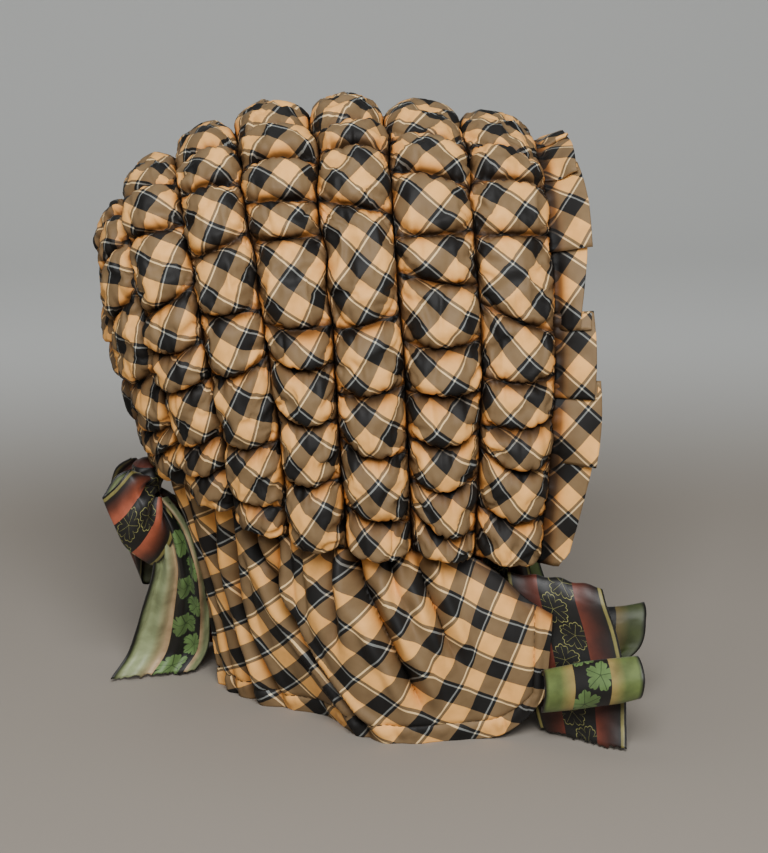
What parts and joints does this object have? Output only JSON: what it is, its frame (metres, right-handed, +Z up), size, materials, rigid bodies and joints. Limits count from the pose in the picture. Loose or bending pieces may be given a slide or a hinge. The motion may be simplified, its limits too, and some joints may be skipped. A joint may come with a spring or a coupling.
{
  "type": "quilted hood",
  "caption": "Padded silk hood with gathered plaid channels arching over the head, a pleated face ruffle, a flared neck curtain, a nape bow and ribbon ties under the chin.",
  "frame": {"origin": "on the table surface under the middle of the outline, ribbons included", "axes": "+Z up, the face opening toward -Y, the wearer's right side toward -X"},
  "size_m": [0.2108, 0.2594, 0.2897],
  "materials": {
    "plaid_silk": "fine taffeta with a low sheen, tan and black plaid cut on the bias",
    "ribbon_dark": "ribbon face, rust shading to dark brown with a black leaf band and yellow-green edges",
    "ribbon_green": "ribbon back, pale green shading to tan with a black leaf band"
  },
  "bodies": {
    "root": {"tube_1": "plaid_silk", "tube_2": "plaid_silk", "tube_3": "plaid_silk", "tube_4": "plaid_silk", "tube_5": "plaid_silk", "tube_6": "plaid_silk", "tube_7": "plaid_silk", "back_panel": "plaid_silk", "face_ruffle": "plaid_silk", "neck_curtain": "plaid_silk", "nape_loop_near": "ribbon_dark", "nape_loop_far": "ribbon_dark", "nape_tail_far": "ribbon_dark", "chin_tie_near": "ribbon_dark", "chin_tie_far": "ribbon_dark", "chin_loop_tall": "ribbon_dark", "nape_knot": "ribbon_dark", "chin_knot": "ribbon_dark", "nape_tail_near": "ribbon_green", "chin_loop_back": "ribbon_green", "chin_loop_front": "ribbon_green"}
  },
  "joints": []
}
